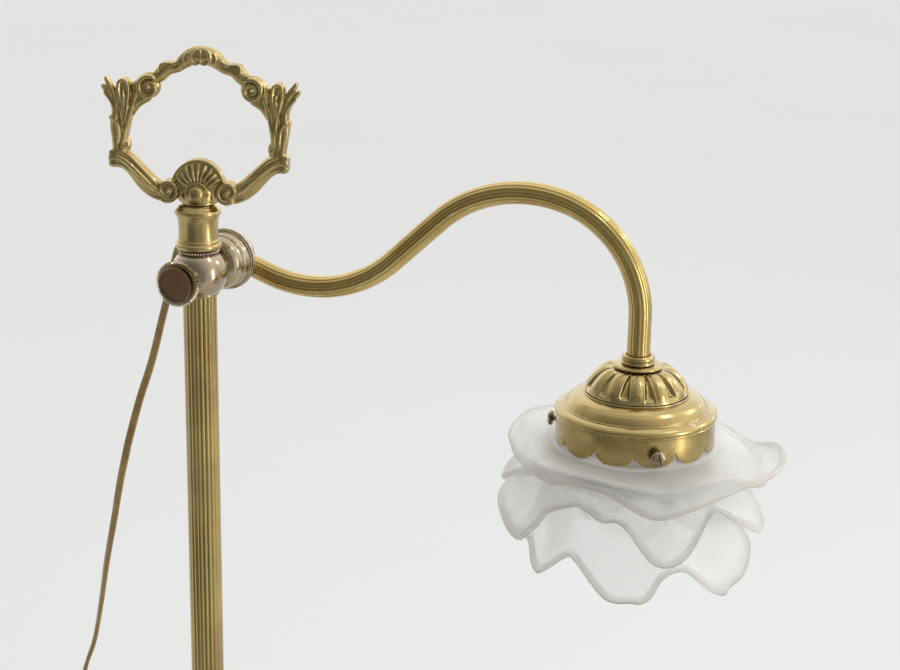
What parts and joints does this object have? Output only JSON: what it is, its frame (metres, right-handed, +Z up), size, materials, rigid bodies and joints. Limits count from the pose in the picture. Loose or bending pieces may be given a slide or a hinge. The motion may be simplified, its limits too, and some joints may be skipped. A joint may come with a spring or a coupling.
{
  "type": "swing arm desk lamp",
  "caption": "Desk lamp: a swan-neck arm on a ball that slides and turns on a reeded column, tilting on a cup joint, with a frosted rose glass and a scroll handle.",
  "frame": {"origin": "centre of the base's underside, on the column's axis", "axes": "+Z up the column; +X the way the arm reaches in the rest pose; -Y toward the clamp knob"},
  "size_m": [0.4763, 0.2937, 0.5828],
  "materials": {
    "antique_brass": "satin antique brass, lacquered",
    "dark_bronze": "polished brown bronze lacquer",
    "steel": "zinc plated",
    "iron": "as cast, painted",
    "felt": "wool felt",
    "fibre": "red-brown fibre",
    "frosted_glass": "acid-frosted, translucent white",
    "bulb_glass": "frosted",
    "porcelain": "glazed",
    "gold_cord": "gold-brown, smooth",
    "brown_plastic": "moulded, semi-gloss"
  },
  "bodies": {
    "stand": {"base_felt": "felt", "base_plate": "steel", "base_weight": "iron", "base_shell": "antique_brass", "base_washer": "steel", "base_nut": "steel", "column_foot": "antique_brass", "column_tube": "antique_brass", "tie_rod": "steel", "milled_ring": "dark_bronze", "neck_collar": "antique_brass", "handle": "antique_brass", "cord_floor": "gold_cord", "cord_link": "gold_cord", "cord_coil": "gold_cord", "cord_tail": "gold_cord", "cord_tie": "brown_plastic", "cord_switch": "brown_plastic", "plug_body": "brown_plastic", "plug_blade_line": "antique_brass", "plug_blade_neutral": "antique_brass"},
    "slider": {"slider_bush": "antique_brass", "cord_lower": "gold_cord"},
    "ball": {"slider_ball": "dark_bronze", "clamp_pad": "fibre", "pivot_cup_inner": "dark_bronze", "pivot_stud": "steel", "pivot_friction_ring": "fibre", "cord_middle": "gold_cord"},
    "knob": {"clamp_knob": "dark_bronze"},
    "arm": {"pivot_cup_outer": "dark_bronze", "pivot_spring_washer": "steel", "pivot_nut": "steel", "arm_tube": "antique_brass", "cord_gland": "dark_bronze", "arm_flex": "gold_cord", "head_collar": "antique_brass", "head_washer": "antique_brass", "gallery_cap": "antique_brass", "shade_gallery": "antique_brass", "gallery_nipple": "steel", "gallery_locknut": "steel", "lampholder_cap": "antique_brass", "lampholder_shell": "antique_brass", "lampholder_core": "porcelain", "screw_shell": "steel", "bulb_cap": "steel", "bulb_glass": "bulb_glass", "shade_glass": "frosted_glass", "cord_upper": "gold_cord"},
    "screw_1": {"gallery_screw_1": "dark_bronze"},
    "screw_2": {"gallery_screw_2": "dark_bronze"},
    "screw_3": {"gallery_screw_3": "dark_bronze"},
    "rocker": {"switch_rocker": "brown_plastic"}
  },
  "joints": [
    {"name": "slider_height", "type": "slide", "parent": "stand", "child": "slider", "axis": [0, 0, 1], "range_m": [-0.16, 0], "deforming": ["cord_lower"]},
    {"name": "arm_swing", "type": "hinge", "parent": "slider", "child": "ball", "pos_m": [0, 0, 0.455], "axis": [0, 0, 1], "range_deg": [-100, 100], "deforming": ["cord_middle"]},
    {"name": "clamp_knob_turn", "type": "hinge", "parent": "ball", "child": "knob", "pos_m": [0, -0.024, 0.455], "axis": [0, -1, 0], "range_deg": [0, 360]},
    {"name": "arm_tilt", "type": "hinge", "parent": "ball", "child": "arm", "pos_m": [0, 0.0415, 0.455], "axis": [0, -1, 0], "range_deg": [-20, 35], "deforming": ["cord_upper"]},
    {"name": "gallery_screw_1_turn", "type": "hinge", "parent": "arm", "child": "screw_1", "pos_m": [0.26744, 0.00227, 0.3823], "axis": [0.5, -0.866, 0], "range_deg": [0, 360]},
    {"name": "gallery_screw_2_turn", "type": "hinge", "parent": "arm", "child": "screw_2", "pos_m": [0.26744, 0.08073, 0.3823], "axis": [0.5, 0.866, 0], "range_deg": [0, 360]},
    {"name": "gallery_screw_3_turn", "type": "hinge", "parent": "arm", "child": "screw_3", "pos_m": [0.19949, 0.0415, 0.3823], "axis": [-1, 0, 0], "range_deg": [0, 360]},
    {"name": "switch_rock", "type": "hinge", "parent": "stand", "child": "rocker", "pos_m": [-0.118, 0.124, 0.0135], "axis": [-0.766, 0.6428, 0], "range_deg": [-8, 8]}
  ]
}
